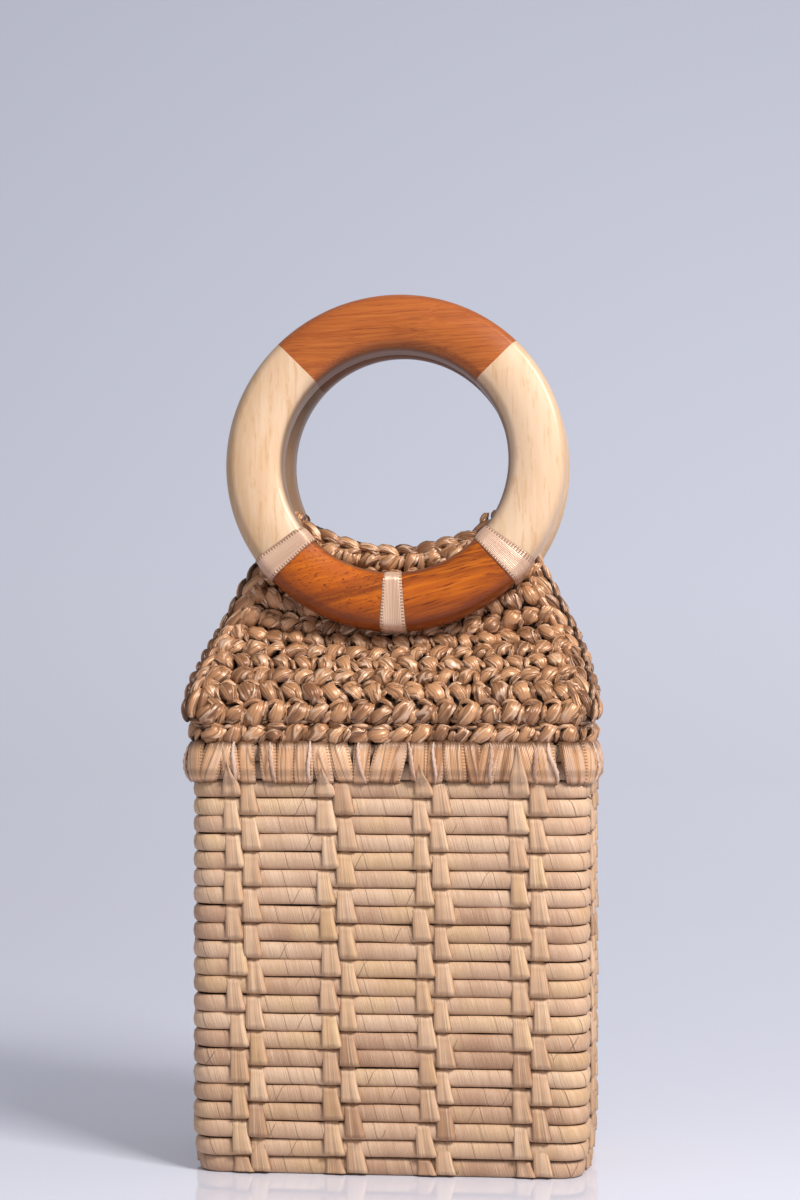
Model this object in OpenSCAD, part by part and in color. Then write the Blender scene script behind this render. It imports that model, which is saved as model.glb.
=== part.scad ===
// Square basket bag: a box of coiled, leaf-wrapped rows, a ribbon-bound rim, a crocheted ribbon
// collar with two closing flaps, and two segmented wooden ring handles tied to the flaps.
// Millimetres. The origin is on the floor under the middle of the basket, +Z up, front towards -Y.

/* [Basket] */
// Width over the rows, left to right
basket_w = 152; // [120:1:200]
// Depth over the rows, front to back
basket_d = 90; // [80:1:140]
// Height of one coiled row
row_h = 6.8; // [5:0.1:9]
// Rows that show below the ribbon rim
face_rows = 22; // [12:2:30]
// Rows that the ribbon rim covers
rim_rows = 2; // [2:1:3]
// Wall thickness over the rows
wall_t = 7; // [6:0.5:9]
// Depth of the groove between two rows
groove = 1.6; // [0.8:0.1:1.8]
// Outer radius of the upright corners
corner_r = 10; // [9.5:0.5:16]
// How far the lowest row is drawn in under the wall
foot_inset = 3; // [1:0.5:3.5]
// Thickness of the base
base_t = 7; // [5:0.5:10]

/* [Leaf stitches] */
// Width of one leaf stitch
stitch_w = 7.5; // [5:0.5:9]
// Thickness of the leaf over the rows
stitch_t = 1; // [0.6:0.1:1.6]
// Distance from one pair of stitch columns to the next
pair_pitch = 36; // [24:1:44]
// Gap between the two columns of a pair
pair_gap = 0.6; // [0.3:0.1:2]

/* [Ribbon rim] */
// Thickness of the ribbon wound over the rim
rim_t = 1.6; // [0.8:0.1:3]
// Width of one ribbon turn along the rim
wrap_w = 7.2; // [5:0.2:10]
// How far a turn swells out between its edges
wrap_swell = 0.6; // [0.2:0.1:1]

/* [Crochet] */
// Height of the collar's crocheted row
crochet_h = 7.6; // [6:0.1:10]
// Height of a crocheted row of the flaps, before it is fitted to a whole number of rows
flap_pitch = 6.7; // [6:0.1:10]
// Width of one crocheted stitch
crochet_w = 8; // [6:0.1:10]
// Thickness over the stitches
crochet_t = 7.8; // [5:0.1:10]
// How far the flap's lower corners stand out past the basket
flap_overhang = 2; // [0:0.5:6]
// How far the flap rises above the side ties
flap_over_tie = 14; // [8:0.5:24]
// How far the flap's corners stand out past the side ties
flap_beside_tie = 2; // [0:0.5:10]
// How much of the flap's top edge shows inside the ring
flap_peek = 8; // [6:0.5:16]

/* [Ring handles] */
// Outside diameter of a ring
ring_od = 133; // [100:1:160]
// Width of the ring from hole to rim
ring_w = 22.5; // [14:0.5:26]
// Thickness of the ring
ring_t = 13; // [12:0.5:18]
// Radius of the rounded edges
ring_edge_r = 4; // [2:0.5:5.5]
// Backward lean of a closed ring, in degrees
ring_lean = 7.5; // [3:0.5:10]
// Height of the ring's lowest point over the flap's fold
ring_rise = 31.5; // [22:0.5:40]
// Gap between the two closed rings at the top
ring_gap = 1; // [0.6:0.1:6]

/* [Ribbon ties] */
// Width of a tie
tie_w = 8.6; // [5:0.2:12]
// Thickness of a tie
tie_t = 0.6; // [0.4:0.1:1]
// Angle of the side ties below the ring's middle, in degrees
tie_angle = 39; // [30:1:42]

/* [Hidden] */
$fn = 64;

straw = [0.80, 0.66, 0.47];
leaf = [0.84, 0.71, 0.50];
satin = [0.72, 0.54, 0.38];
ribbon = [0.80, 0.66, 0.52];
dark_wood = [0.62, 0.30, 0.12];
pale_wood = [0.93, 0.78, 0.55];

// Clearances: a seam that folds, a ring lying on its flap, ribbon on the rows it covers,
// and a leaf tucked into a groove
fold_clear = 0.5;
ring_clear = 0.3;
rim_clear = 0.05;
tuck_gap = 0.4;

rows = face_rows + rim_rows;
foot_rows = 2;
face_h = face_rows * row_h;
basket_h = rows * row_h;

// Share of a row's height at which its crest starts and ends
crest_from = 0.3;
crest_to = 0.7;
shoulder = 0.1;

pair_w = 2 * stitch_w + pair_gap;

rim_in_t = rim_t / 2;
rim_top = basket_h + rim_in_t;

collar_sink = 0.4;
collar_half_h = crochet_h / 2 - fold_clear;
collar_z = rim_top + collar_half_h - collar_sink;
collar_inset = wall_t / 2;
collar_sides = 8;

fold_r = crochet_t / 2;
fold_y = -(basket_d / 2 - collar_inset);
fold_z = collar_z + collar_half_h + fold_clear + fold_r;

ring_r = ring_od / 2;
ring_mid_r = ring_r - ring_w / 2;
ring_half_span = (ring_r - ring_edge_r) * cos(ring_lean) + (ring_t / 2 - ring_edge_r) * sin(ring_lean)
    + ring_edge_r;
ring_half_depth = (ring_r - ring_edge_r) * sin(ring_lean) + (ring_t / 2 - ring_edge_r) * cos(ring_lean)
    + ring_edge_r;
ring_y = -(ring_half_depth + ring_gap / 2);
ring_z = fold_z + ring_rise + ring_half_span;

// The flap's middle layer lies this far behind the ring's middle plane
flap_offset = ring_t / 2 + ring_clear + crochet_t / 2;

tie_x = ring_mid_r * cos(tie_angle);
tie_z = ring_z - ring_mid_r * sin(tie_angle) * cos(ring_lean);
tie_grip = crochet_t * 0.6;

flap_base_half = basket_w / 2 + flap_overhang;
flap_top_half = tie_x + flap_beside_tie;
flap_corner_z = tie_z + flap_over_tie;
flap_middle_z = ring_z - (ring_r - ring_w) * cos(ring_lean) + flap_peek;
flap_settle = ring_rise + ring_edge_r / 2;

// Flat length along the flap's middle, its rows and its stitches across the fold
flap_table = flap_path();
flap_mid_len = lookup(flap_middle_z, [for (p = flap_table) [p[2], p[0]]]);
flap_corner_len = lookup(flap_corner_z, [for (p = flap_table) [p[2], p[0]]]);
flap_rows = round(flap_mid_len / flap_pitch);
flap_row_h = flap_mid_len / flap_rows;
flap_stitches = round(2 * flap_base_half / crochet_w);

function clamp01(t) = max(0, min(1, t));
function smooth(t) = t * t * (3 - 2 * t);

// Outline of a rounded rectangle, counter-clockwise, with arcs of a few steps
function rounded_rect(w, d, r, steps = 6) = [
    for (c = [0:3], k = [0:steps])
        let (a = 90 * c + 90 * k / steps,
             sx = (c == 0 || c == 3) ? 1 : -1,
             sy = c < 2 ? 1 : -1)
        [sx * (w / 2 - r) + r * cos(a), sy * (d / 2 - r) + r * sin(a)]
];

// Place and outward normal at a run along a rounded rectangle, as [x, y, nx, ny]
function rect_run(w, d, r, run) =
    let (lx = w - 2 * r, ly = d - 2 * r, q = PI * r / 2,
         starts = [0, ly, ly + q, ly + q + lx, ly + 2 * q + lx, 2 * ly + 2 * q + lx,
                   2 * ly + 3 * q + lx, 2 * ly + 3 * q + 2 * lx],
         total = 2 * (lx + ly) + 4 * q,
         t = run - total * floor(run / total),
         i = max([for (k = [0:7]) if (t >= starts[k]) k]),
         f = t - starts[i],
         turn = 90 * floor(i / 2),
         a = i % 2 == 0 ? turn : turn + 90 * f / q,
         corner = [[w / 2 - r, d / 2 - r], [-w / 2 + r, d / 2 - r],
                   [-w / 2 + r, -d / 2 + r], [w / 2 - r, -d / 2 + r]][floor(i / 2)],
         start = [[w / 2, -d / 2 + r], [w / 2 - r, d / 2], [-w / 2, d / 2 - r],
                  [-w / 2 + r, -d / 2]][floor(i / 2)])
    i % 2 == 0
        ? [start[0] - f * sin(turn), start[1] + f * cos(turn), cos(a), sin(a)]
        : [corner[0] + r * cos(a), corner[1] + r * sin(a), cos(a), sin(a)];
function rect_length(w, d, r) = 2 * (w + d - 4 * r) + 2 * PI * r;

// How far row i stands in from the wall's outer face: the lowest rows are drawn in to the foot
function row_inset(i) = i == 0 ? foot_inset : i == 1 ? foot_inset / 3 : 0;

// Outer side of the wall as [distance in from the outer face, height], one rounded row after another
function row_points(i) = [
    for (p = [[groove, 0], [groove * 0.35, shoulder], [0, crest_from], [0, crest_to],
              [groove * 0.35, 1 - shoulder]])
        [-row_inset(i) - p[0], (i + p[1]) * row_h]
];

// Section of the wall: rows outside and inside, plain inside the foot
function wall_outline() = concat(
    [for (i = [0:rows - 1], p = row_points(i)) p],
    [[-groove, basket_h], [groove - wall_t, basket_h]],
    [for (i = [rows - 1:-1:foot_rows], p = [[0, crest_to], [0, crest_from], [groove, 0]])
        [p[0] - wall_t, (i + p[1]) * row_h]],
    [[-wall_t, (foot_rows - crest_from) * row_h], [-wall_t, 0]]
);

// Basket

module wall_side(length) {
    rotate([90, 0, 90])
        linear_extrude(height = length, center = true)
            polygon(wall_outline());
}

module wall_corner() {
    rotate_extrude(angle = 90)
        translate([corner_r, 0])
            polygon(wall_outline());
}

module four_sides() {
    for (side = [0:3]) {
        half = side % 2 == 0 ? basket_d / 2 : basket_w / 2;
        rotate([0, 0, 90 * side + 180])
            translate([0, half, 0])
                children(side % 2);
    }
}

module coil_basket() {
    color(straw) {
        union() {
            four_sides() {
                wall_side(basket_w - 2 * corner_r);
                wall_side(basket_d - 2 * corner_r);
            }
            for (c = [0:3])
                translate([(c == 0 || c == 3 ? 1 : -1) * (basket_w / 2 - corner_r),
                           (c < 2 ? 1 : -1) * (basket_d / 2 - corner_r), 0])
                    rotate([0, 0, 90 * c])
                        wall_corner();
            linear_extrude(height = base_t)
                polygon(rounded_rect(basket_w - wall_t, basket_d - wall_t, corner_r - wall_t / 2));
        }
    }
}

// Leaf stitches: each column lays a leaf over two rows at a time, and its neighbour one row higher

function stitch_outline(from_row, to_row) =
    let (low = from_row * row_h + tuck_gap / 2,
         high = (to_row + 1) * row_h - tuck_gap / 2,
         low_in = row_inset(from_row),
         high_in = row_inset(to_row))
    [[-wall_t / 2 - low_in, low], [-groove - low_in, low], [stitch_t - low_in, low + row_h * shoulder * 2],
     [stitch_t - high_in, high - row_h * shoulder * 2], [-groove - high_in, high],
     [-wall_t / 2 - high_in, high]];

module stitch_column(first_row) {
    rotate([90, 0, 90])
        linear_extrude(height = stitch_w, center = true)
            difference() {
                for (i = [first_row:2:face_rows - 1])
                    polygon(stitch_outline(max(0, i), min(face_rows - 1, i + 1)));
                polygon(wall_outline());
            }
}

module stitch_pairs(flat_w) {
    pairs = floor((flat_w - pair_w) / pair_pitch) + 1;
    step = (stitch_w + pair_gap) / 2;
    for (n = [0:pairs - 1]) {
        x = (n - (pairs - 1) / 2) * pair_pitch;
        translate([x - step, 0, 0]) stitch_column(0);
        translate([x + step, 0, 0]) stitch_column(-1);
    }
}

module leaf_stitches() {
    color(leaf)
        four_sides() {
            stitch_pairs(basket_w - 2 * corner_r);
            stitch_pairs(basket_d - 2 * corner_r);
        }
}

// Ribbon rim: ribbon wound over the top rows, each turn swelling a little between its edges

function rim_outline(grow) =
    let (w = basket_w + 2 * grow, d = basket_d + 2 * grow, r = corner_r + grow,
         turns = round(rect_length(w, d, r) / wrap_w), step = rect_length(w, d, r) / turns)
    [for (n = [0:turns - 1], k = [0, 0.2, 0.8])
        let (p = rect_run(w, d, r, (n + k) * step), out = k == 0 ? -wrap_swell : 0)
        [p[0] + out * p[2], p[1] + out * p[3]]];

module rim_shell(low, high, grow) {
    translate([0, 0, low])
        linear_extrude(height = high - low)
            polygon(rim_outline(grow));
}

module rim_binding() {
    rounding = rim_t / 2;
    bore = [basket_w - 2 * (wall_t + rim_in_t), basket_d - 2 * (wall_t + rim_in_t)];
    slot = [basket_w - 2 * wall_t, basket_d - 2 * wall_t];
    color(satin)
        difference() {
            union() {
                rim_shell(face_h, basket_h - rounding, rim_t);
                rim_shell(basket_h - rounding, rim_top, rim_t - rounding);
            }
            translate([0, 0, face_h])
                linear_extrude(height = basket_h - face_h)
                    difference() {
                        polygon(rounded_rect(basket_w + 2 * rim_clear, basket_d + 2 * rim_clear,
                                             corner_r + rim_clear, 24));
                        polygon(rounded_rect(slot[0], slot[1], corner_r - wall_t));
                    }
            translate([0, 0, face_h - 1])
                linear_extrude(height = rim_top - face_h + 2)
                    polygon(rounded_rect(bore[0], bore[1], corner_r - wall_t - rim_in_t));
        }
}

// Crochet: bumps in rows, one bump a stitch, each row shifted by half a stitch

function mesh_quads(rows_n, cols_n, first, flip) = [
    for (i = [0:rows_n - 1], k = [0:cols_n - 1])
        let (a = first + i * (cols_n + 1) + k, b = a + 1, c = a + cols_n + 2, d = a + cols_n + 1)
        for (t = flip ? [[a, c, b], [a, d, c]] : [[a, b, c], [a, c, d]]) t
];

// Collar: one crocheted row swept round the rim, two rings of points to a stitch

module crochet_collar() {
    w = basket_w - 2 * collar_inset;
    d = basket_d - 2 * collar_inset;
    r = corner_r - collar_inset;
    stitches = round(rect_length(w, d, r) / crochet_w);
    rings = 2 * stitches;
    points = [
        for (n = [0:rings - 1], k = [0:collar_sides - 1])
            let (p = rect_run(w, d, r, n * rect_length(w, d, r) / rings),
                 swell = n % 2 == 0 ? 1 : 0.8,
                 a = 360 * k / collar_sides,
                 out = crochet_t / 2 * swell * cos(a),
                 up = collar_half_h * swell * sin(a))
            [p[0] + out * p[2], p[1] + out * p[3], collar_z + up]
    ];
    faces = [
        for (n = [0:rings - 1], k = [0:collar_sides - 1])
            let (a = n * collar_sides + k, b = n * collar_sides + (k + 1) % collar_sides,
                 next = ((n + 1) % rings - n) * collar_sides)
            for (t = [[a, b, b + next], [a, b + next, a + next]]) t
    ];
    color(satin)
        polyhedron(points, faces);
}

// Flap: it leans in over the basket, then lies flat behind the ring

function flap_flat_y(z) = ring_y + flap_offset * cos(ring_lean)
    + (z - ring_z + flap_offset * sin(ring_lean)) * tan(ring_lean);
function flap_y(z) = fold_y + (flap_flat_y(z) - fold_y) * smooth(clamp01((z - fold_z) / flap_settle));

// Table of [length along the flap from the fold, y, z]
function flap_path(step = 1) =
    let (low = fold_z - flap_pitch, count = ceil((flap_corner_z + 2 * flap_pitch - low) / step),
         pts = [for (i = [0:count]) [flap_y(low + i * step), low + i * step]],
         runs = [for (i = 0, s = 0; i <= count;
                      s = s + (i < count ? norm(pts[i + 1] - pts[i]) : 0), i = i + 1) s],
         zero = lookup(fold_z, [for (i = [0:count]) [pts[i][1], runs[i]]]))
    [for (i = [0:count]) [runs[i] - zero, pts[i][0], pts[i][1]]];
function flap_at(s) = [lookup(s, [for (p = flap_table) [p[0], p[1]]]),
                       lookup(s, [for (p = flap_table) [p[0], p[2]]])];

// Half width of the flap at a height: its side edges are straight as seen from the front
function flap_half(z) = flap_base_half
    + (flap_top_half - flap_base_half) * clamp01((z - fold_z) / (flap_corner_z - fold_z));

// Length from the fold of row line i at u across, where u runs from -1 to 1: the upper rows dip
// in the middle, so that the top edge follows the ring
function flap_run(i, u) =
    let (v = i / (2 * flap_rows))
    (i / 2 - 0.5) * flap_row_h * (flap_mid_len / (flap_mid_len - flap_row_h / 2))
        + (flap_corner_len - flap_mid_len) * u * u * smooth(v);

function flap_half_t(i, k) =
    i == 0 ? crochet_t * 0.1
        : i == 2 * flap_rows ? crochet_t * 0.16
        : i % 2 == 0 ? crochet_t * 0.36
        : (k + (i - 1) / 2) % 2 == 0 ? crochet_t / 2 : crochet_t * 0.4;

function flap_point(i, k, side) =
    let (u = k / flap_stitches - 1, s = flap_run(i, u), p = flap_at(s), e = 0.5,
         q = flap_at(s + e) - flap_at(s - e), n = [-q[1], q[0]] / norm(q),
         t = side * flap_half_t(i, k))
    [u * flap_half(p[1]), p[0] + t * n[0], p[1] + t * n[1]];

module flap() {
    cols = 2 * flap_stitches;
    lines = 2 * flap_rows;
    count = (lines + 1) * (cols + 1);
    points = [for (side = [1, -1], i = [0:lines], k = [0:cols]) flap_point(i, k, side)];
    rim = concat(
        [for (k = [0:cols - 1]) k],
        [for (i = [0:lines - 1]) i * (cols + 1) + cols],
        [for (k = [cols:-1:1]) lines * (cols + 1) + k],
        [for (i = [lines:-1:1]) i * (cols + 1)]
    );
    edge = [
        for (j = [0:len(rim) - 1])
            let (a = rim[j], b = rim[(j + 1) % len(rim)])
            for (t = [[a, b + count, a + count], [a, b, b + count]]) t
    ];
    polyhedron(points, concat(mesh_quads(lines, cols, 0, true), mesh_quads(lines, cols, count, false), edge));
}

// Ring handle: four quarter segments, glued at mitred joints, with rounded edges

module rounded_section(w, t, r) {
    square([w - 2 * r, t], center = true);
    square([w, t - 2 * r], center = true);
    for (sx = [-1, 1], sy = [-1, 1])
        translate([sx * (w / 2 - r), sy * (t / 2 - r)])
            circle(r);
}

module on_ring() {
    translate([0, ring_y, ring_z])
        rotate([90 - ring_lean, 0, 0])
            children();
}

module ring_segment(start) {
    on_ring()
        rotate([0, 0, start])
            rotate_extrude(angle = 90)
                translate([ring_mid_r, 0])
                    rounded_section(ring_w, ring_t, ring_edge_r);
}

// Tie: a ribbon loop round the ring, whose back runs through the flap

module tie_section(grow) {
    rounded_section(ring_w + 2 * grow, ring_t + 2 * grow, ring_edge_r + grow);
    translate([0, -(ring_t / 2 + tie_grip) / 2])
        square([ring_w + 2 * grow, ring_t / 2 + tie_grip + 2 * grow], center = true);
}

module tie(angle) {
    span = tie_w / ring_mid_r * 180 / PI;
    on_ring()
        rotate([0, 0, angle - span / 2])
            rotate_extrude(angle = span)
                translate([ring_mid_r, 0])
                    difference() {
                        tie_section(tie_t);
                        tie_section(0);
                    }
}

// The back half is the front half turned round

module back() {
    rotate([0, 0, 180])
        children();
}

coil_basket();
leaf_stitches();
rim_binding();
crochet_collar();
color(satin) flap();  // front_flap
color(dark_wood) ring_segment(45);  // front_ring_top
color(dark_wood) ring_segment(225);  // front_ring_bottom
color(pale_wood) ring_segment(135);  // front_ring_left
color(pale_wood) ring_segment(315);  // front_ring_right
color(ribbon) tie(180 + tie_angle);  // front_tie_left
color(ribbon) tie(270);  // front_tie_middle
color(ribbon) tie(360 - tie_angle);  // front_tie_right
color(satin) back() flap();  // back_flap
color(dark_wood) back() ring_segment(45);  // back_ring_top
color(dark_wood) back() ring_segment(225);  // back_ring_bottom
color(pale_wood) back() ring_segment(315);  // back_ring_left
color(pale_wood) back() ring_segment(135);  // back_ring_right
color(ribbon) back() tie(360 - tie_angle);  // back_tie_left
color(ribbon) back() tie(270);  // back_tie_middle
color(ribbon) back() tie(180 + tie_angle);  // back_tie_right
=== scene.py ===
import math

import bpy
import numpy as np
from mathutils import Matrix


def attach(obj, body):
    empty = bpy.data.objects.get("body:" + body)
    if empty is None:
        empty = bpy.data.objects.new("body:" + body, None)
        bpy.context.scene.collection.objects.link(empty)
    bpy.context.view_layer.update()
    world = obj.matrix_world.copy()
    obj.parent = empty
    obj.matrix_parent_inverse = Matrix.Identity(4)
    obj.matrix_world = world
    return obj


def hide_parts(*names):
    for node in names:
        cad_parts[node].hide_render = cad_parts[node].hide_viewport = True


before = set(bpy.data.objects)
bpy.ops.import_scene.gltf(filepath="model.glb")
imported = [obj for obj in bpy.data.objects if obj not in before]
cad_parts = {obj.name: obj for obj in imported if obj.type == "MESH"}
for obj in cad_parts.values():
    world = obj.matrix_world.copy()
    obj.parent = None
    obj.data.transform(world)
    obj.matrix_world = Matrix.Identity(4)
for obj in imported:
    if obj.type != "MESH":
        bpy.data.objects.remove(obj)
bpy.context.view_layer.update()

MM = 0.001
RNG = np.random.default_rng(11)

# Sizes in millimetres, the same as in the part's source
BASKET_W, BASKET_D, CORNER_R = 152.0, 90.0, 10.0
ROW_H, FACE_ROWS, RIM_ROWS, WALL_T = 6.8, 22, 2, 7.0
FACE_H = FACE_ROWS * ROW_H
FOOT_INSET = 3.0
STITCH_W, PAIR_PITCH, PAIR_GAP = 7.5, 36.0, 0.6
CROCHET_W, CROCHET_T, FLAP_PITCH = 8.0, 7.8, 6.7
COLLAR_Z = 166.9
FOLD_Y, FOLD_Z = -41.5, 174.6
RING_R, RING_W, RING_T, RING_EDGE, RING_RISE, RING_GAP = 66.5, 22.5, 13.0, 4.0, 31.5, 1.0
RING_LEAN = math.radians(7.5)
RING_SIN, RING_COS = math.sin(RING_LEAN), math.cos(RING_LEAN)
RING_MID = RING_R - RING_W / 2
FLAT_R, FLAT_T = RING_R - RING_EDGE, RING_T / 2 - RING_EDGE
RING_Y = -(FLAT_R * RING_SIN + FLAT_T * RING_COS + RING_EDGE + RING_GAP / 2)
RING_Z = FOLD_Z + RING_RISE + FLAT_R * RING_COS + FLAT_T * RING_SIN + RING_EDGE
TIE_W, TIE_ANGLE = 8.6, 39.0


# Surfaces


def add_surface(name, pts, wrap=(False, False), along=None, across=None, tone=None, outward=False):
    """Mesh of a batch of grids: pts is (pieces, lines, points in a line, 3) in millimetres.

    wrap joins the last line to the first, or the last point of a line to its first. along and
    across are the UV values of the lines and of the points. tone is one value for each piece.
    outward turns closed pieces so that their volume is positive."""
    b, n, m, _ = pts.shape
    ni, mi = n - (not wrap[0]), m - (not wrap[1])
    i, k = np.arange(ni)[:, None], np.arange(mi)[None, :]
    i2, k2 = (i + 1) % n, (k + 1) % m
    quad = np.stack(np.broadcast_arrays(i * m + k, i * m + k2, i2 * m + k2, i2 * m + k), -1).reshape(-1, 4)
    corner = np.stack(np.broadcast_arrays(i, k, i, k + 1, i + 1, k + 1, i + 1, k), -1).reshape(-1, 4, 2)
    if outward:
        p = (pts[0].reshape(-1, 3) - pts[0].reshape(-1, 3).mean(0))[quad]
        volume = np.einsum("ij,ij->", p[:, 0], np.cross(p[:, 1], p[:, 2]) + np.cross(p[:, 2], p[:, 3]))
        if volume < 0:
            quad, corner = quad[:, ::-1], corner[:, ::-1]
    loops = (np.arange(b)[:, None, None] * (n * m) + quad[None]).reshape(-1)
    count = b * len(quad)
    mesh = bpy.data.meshes.new(name)
    mesh.vertices.add(b * n * m)
    mesh.vertices.foreach_set("co", (pts * MM).astype(np.float32).reshape(-1))
    mesh.loops.add(count * 4)
    mesh.loops.foreach_set("vertex_index", loops.astype(np.int32))
    mesh.polygons.add(count)
    mesh.polygons.foreach_set("loop_start", np.arange(count, dtype=np.int32) * 4)
    mesh.polygons.foreach_set("use_smooth", np.ones(count, bool))
    along = np.linspace(0, 1, ni + 1) if along is None else along
    across = np.linspace(0, 1, mi + 1) if across is None else across
    uv = np.stack([along[corner[..., 0]], across[corner[..., 1]]], -1)
    layer = mesh.uv_layers.new(name="UVMap")
    layer.data.foreach_set("uv", np.tile(uv.reshape(-1), b).astype(np.float32))
    tone = RNG.random(b) if tone is None else tone
    mark = mesh.attributes.new("tone", "FLOAT", "POINT")
    mark.data.foreach_set("value", np.repeat(tone, n * m).astype(np.float32))
    mesh.update(calc_edges=True)
    made = bpy.data.objects.new(name, mesh)
    bpy.context.scene.collection.objects.link(made)
    return made


def unit(v):
    """Vectors at length 1."""
    return v / np.maximum(np.linalg.norm(v, axis=-1, keepdims=True), 1e-9)


def draws(n):
    """Function that draws one random value for each of n pieces, evenly between two bounds."""
    return lambda low, high: RNG.uniform(low, high, n)[:, None, None]


def through(points, samples):
    """Cubic through four points a strand: (strands, 4, ...) becomes (strands, samples, ...)."""
    t = np.linspace(0, 1, samples)
    knots = np.array([0, 1 / 3, 2 / 3, 1])
    basis = np.ones((samples, 4))
    for a in range(4):
        for b in range(4):
            if a != b:
                basis[:, a] *= (t - knots[b]) / (knots[a] - knots[b])
    return np.einsum("tk,bk...->bt...", basis, points)


def strands(
    name, paths, normals, wide, thick, sides=8, crumple=0.05, fold=0.0, twist=0.0, taper=0.4, tone=None
):
    """Soft ribbon strands: an ellipse of half widths wide and thick, swept along each path.

    The radius swells from the ends to the middle as a sine to the power taper and is crumpled at random
    from point to point. fold sets three folds round the section that turn by twist along it."""
    b, n, _ = paths.shape
    t = np.linspace(0, 1, n)
    tangent = unit(np.gradient(paths, axis=1))
    side = unit(np.cross(tangent, normals))
    out = np.cross(side, tangent)
    a = np.linspace(-np.pi / 2, 1.5 * np.pi, sides, endpoint=False)
    swell = 0.02 + 0.98 * np.sin(np.pi * t) ** taper
    turn = a[None, None, :] + RNG.uniform(0, 6.28, (b, 1, 1)) + 2 * np.pi * twist * t[None, :, None]
    ring = swell[None, :, None] * (1 + fold * np.cos(3 * turn) + RNG.normal(0, crumple, (b, n, sides)))
    wide = np.broadcast_to(np.asarray(wide, float).reshape(-1, 1, 1), (b, 1, 1))
    thick = np.broadcast_to(np.asarray(thick, float).reshape(-1, 1, 1), (b, 1, 1))
    pts = (
        paths[:, :, None]
        + (wide * ring * np.cos(a))[..., None] * side[:, :, None]
        + (thick * ring * np.sin(a))[..., None] * out[:, :, None]
    )
    length = np.linalg.norm(np.diff(paths[0], axis=0), axis=-1).sum()
    return add_surface(name, pts, (False, True), along=t * length, tone=tone, outward=True)


def rect_run(w, d, r, run):
    """Point and outward normal at a run along a rounded rectangle: four straight sides and four
    quarter circles, counter-clockwise from the lower end of the right side."""
    lx, ly, q = w - 2 * r, d - 2 * r, np.pi * r / 2
    starts = np.cumsum([0, ly, q, lx, q, ly, q, lx])
    total = 2 * (lx + ly) + 4 * q
    t = np.mod(run, total)
    part = np.searchsorted(starts, t, side="right") - 1
    f = t - starts[part]
    turn = np.pi / 2 * (part // 2)
    angle = np.where(part % 2 == 0, turn, turn + f / r)
    cx = np.array([w / 2 - r, -w / 2 + r, -w / 2 + r, w / 2 - r])[part // 2]
    cy = np.array([d / 2 - r, d / 2 - r, -d / 2 + r, -d / 2 + r])[part // 2]
    sx = np.array([w / 2, w / 2 - r, -w / 2, -w / 2 + r])[part // 2]
    sy = np.array([-d / 2 + r, d / 2, d / 2 - r, -d / 2])[part // 2]
    straight = part % 2 == 0
    x = np.where(straight, sx - f * np.sin(turn), cx + r * np.cos(angle))
    y = np.where(straight, sy + f * np.cos(turn), cy + r * np.sin(angle))
    return x, y, np.cos(angle), np.sin(angle)


def rect_length(w, d, r):
    """Length once round a rounded rectangle."""
    return 2 * (w + d - 4 * r) + 2 * np.pi * r


def wall_point(run, out, z):
    """Point at a run along the basket's outer face, moved out from it, at a height."""
    x, y, nx, ny = rect_run(BASKET_W, BASKET_D, CORNER_R, run)
    return np.stack(np.broadcast_arrays(x + out * nx, y + out * ny, z), -1)


def front_run(x):
    """Run along the wall of a place on the front face."""
    return BASKET_W + 2 * BASKET_D - 6 * CORNER_R + 1.5 * np.pi * CORNER_R + x + BASKET_W / 2 - CORNER_R


def row_inset(i):
    """How far a row is drawn in: a share of the foot's inset on the two lowest rows, 0 on the others."""
    return np.where(i == 0, 0.65 * FOOT_INSET, np.where(i == 1, 0.2 * FOOT_INSET, 0.0))


# Materials: every colour is linear red, green and blue

# The first colour below is painted shade for the grooves between wound rows and the edges of flat leaf
LEAF_GROOVE_SHADE, LEAF_CRACK, LEAF_GLEAM = (0.12, 0.058, 0.03), (0.11, 0.05, 0.024), (0.80, 0.62, 0.45)
# Painted shade: first on a ribbon's narrow edge strips, then in soft bands across it
RIBBON_SIDE_SHADE, RIBBON_BAND_SHADE = (0.12, 0.05, 0.022), (0.10, 0.042, 0.018)
# Below: a painted highlight and painted shade for fold steps, then painted shade for strand undersides
FOLD_GLINT, FOLD_CREASE_SHADE, STRAND_UNDER_SHADE = (0.80, 0.57, 0.42), (0.10, 0.04, 0.018), (0.05, 0.021, 0.01)
# Painted shade for the wall of the ring's hole
HOLE_WALL_SHADE = (0.13, 0.065, 0.035)


def wire(tree, kind, values=None, **settings):
    """New node with its settings; a value is a number or the socket that feeds it."""
    made = tree.nodes.new(kind)
    for key, value in settings.items():
        setattr(made, key, value)
    for key, value in (values or {}).items():
        if isinstance(value, bpy.types.NodeSocket):
            tree.links.new(value, made.inputs[key])
        else:
            made.inputs[key].default_value = value
    return made


def calc(tree, operation, *values):
    """Math node; its values are numbers or sockets."""
    return wire(tree, "ShaderNodeMath", dict(enumerate(values)), operation=operation).outputs[0]


def times(tree, a, b):
    """Product of two values."""
    return calc(tree, "MULTIPLY", a, b)


def plus(tree, a, b):
    """Sum of two values."""
    return calc(tree, "ADD", a, b)


def apart(tree, a, b):
    """How far two values lie apart."""
    return calc(tree, "ABSOLUTE", calc(tree, "SUBTRACT", a, b))


def vector_calc(tree, operation, a, b):
    """Vector math node; its values are vectors or sockets."""
    return wire(tree, "ShaderNodeVectorMath", {0: a, 1: b}, operation=operation).outputs[0]


def noise(tree, vector, scale, detail, roughness=0.5):
    """Outputs of a noise at a place."""
    values = {"Vector": vector, "Scale": scale, "Detail": detail, "Roughness": roughness}
    return wire(tree, "ShaderNodeTexNoise", values).outputs


def ramp(tree, value, low, high):
    """Smooth step from 0 at low to 1 at high; low may be the larger of the two."""
    values = {"Value": value, "From Min": low, "From Max": high}
    return wire(tree, "ShaderNodeMapRange", values, interpolation_type="SMOOTHSTEP").outputs[0]


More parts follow.
